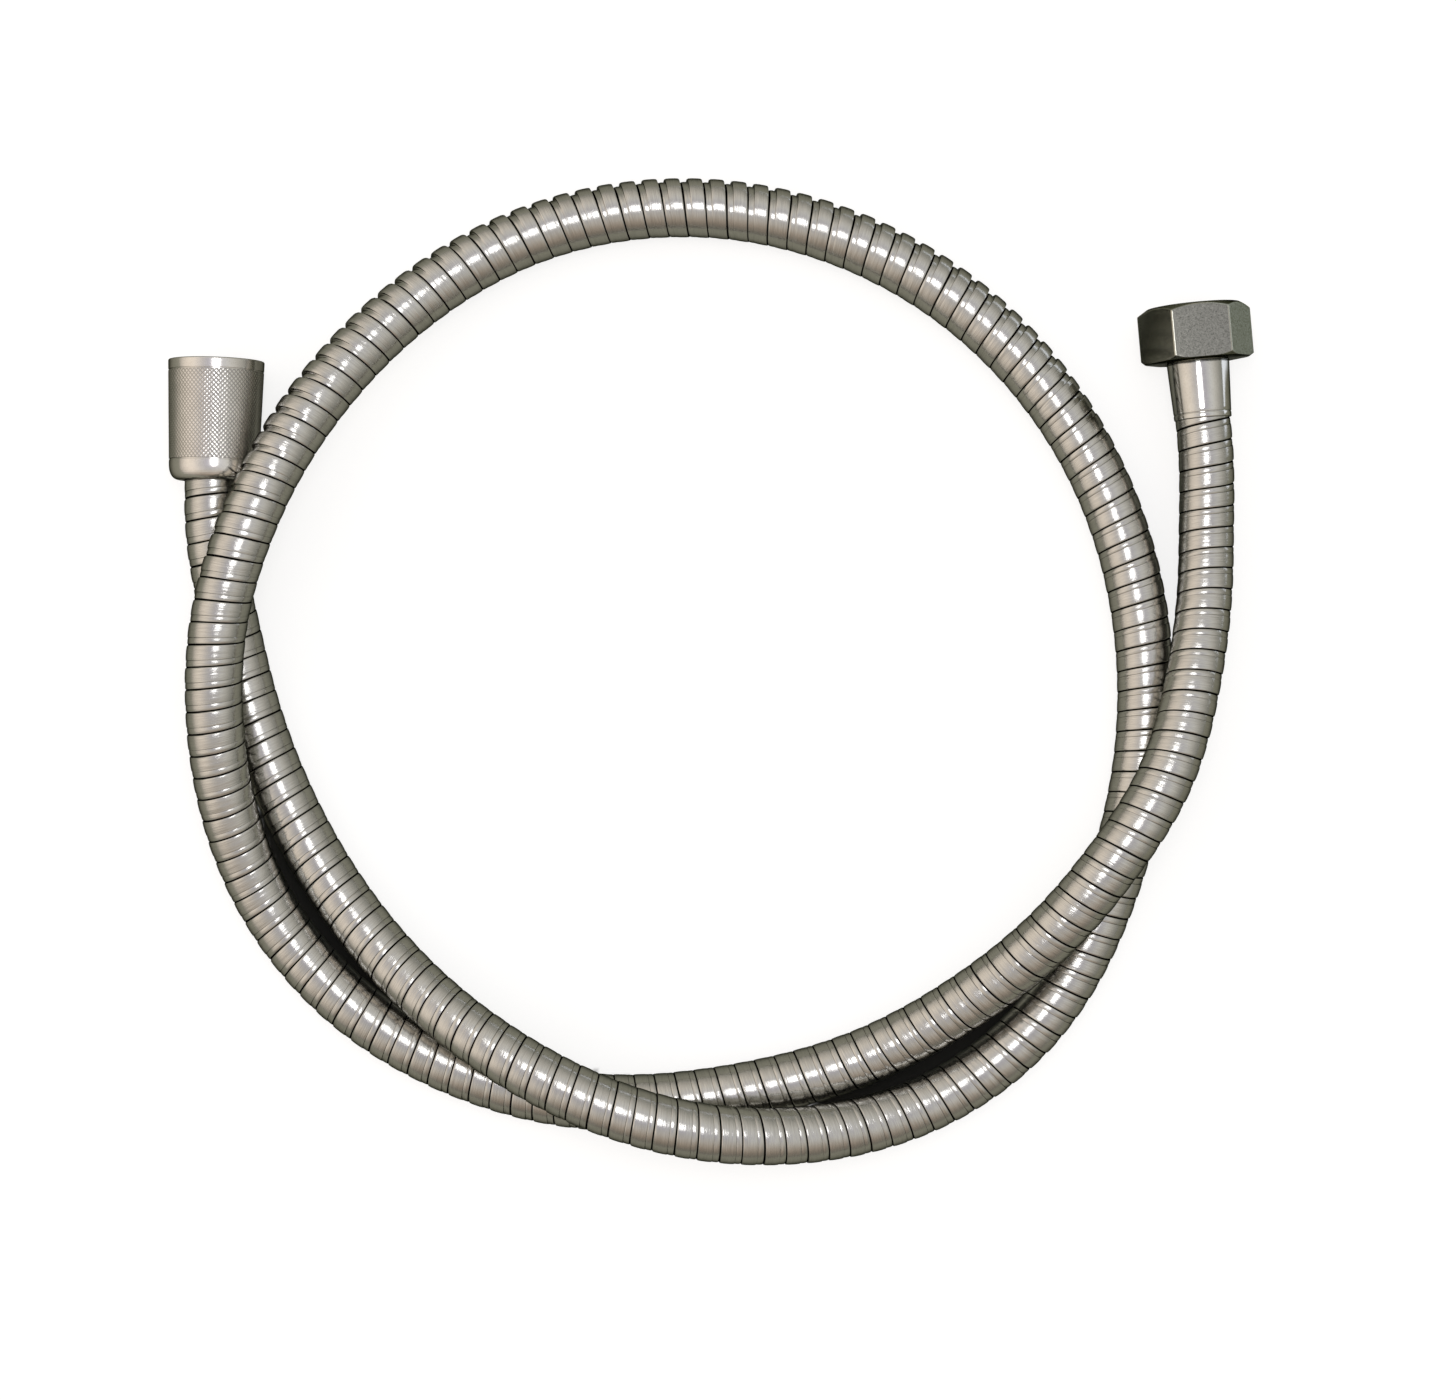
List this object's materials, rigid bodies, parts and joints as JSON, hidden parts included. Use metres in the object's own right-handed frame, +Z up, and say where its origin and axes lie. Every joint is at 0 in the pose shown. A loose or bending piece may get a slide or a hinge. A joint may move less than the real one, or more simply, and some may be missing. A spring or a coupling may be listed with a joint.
{
  "type": "flexible shower hose",
  "caption": "Chromed strip-wound metal shower hose laid in a loose ring, with a hexagonal union nut on one end and a knurled tapered union nut on the other, both free to spin.",
  "frame": {"origin": "bottom centre of the box round the two end fittings, on the surface that the hose lies on", "axes": "+Z up off that surface; +X from the knurled nut towards the hexagonal nut; +Y the way both mouths face, away from the ring of hose"},
  "size_m": [0.264, 0.2395, 0.0302],
  "materials": {
    "casing_strip": "bright chromed strip",
    "chrome": "bright chrome plate",
    "satin_nickel": "satin nickel plate",
    "brass": "turned brass",
    "washer_rubber": "matt",
    "liner_rubber": "matt"
  },
  "bodies": {
    "hose": {"outer_hose": "casing_strip", "inner_hose": "liner_rubber", "hex_tail": "brass", "knurled_tail": "brass", "hex_sleeve": "chrome", "knurled_sleeve": "chrome"},
    "hex_union": {"hex_nut": "satin_nickel", "hex_washer": "washer_rubber"},
    "knurled_union": {"knurled_nut": "chrome", "knurled_washer": "washer_rubber"}
  },
  "joints": [
    {"name": "hex_nut_spin", "type": "hinge", "parent": "hose", "child": "hex_union", "pos_m": [0.11721, 0.02212, 0.012], "axis": [-0.0872, 0.9962, 0], "continuous": true},
    {"name": "knurled_nut_spin", "type": "hinge", "parent": "hose", "child": "knurled_union", "pos_m": [-0.12039, 0.00932, 0.01165], "axis": [0.0262, 0.9997, 0], "continuous": true}
  ]
}
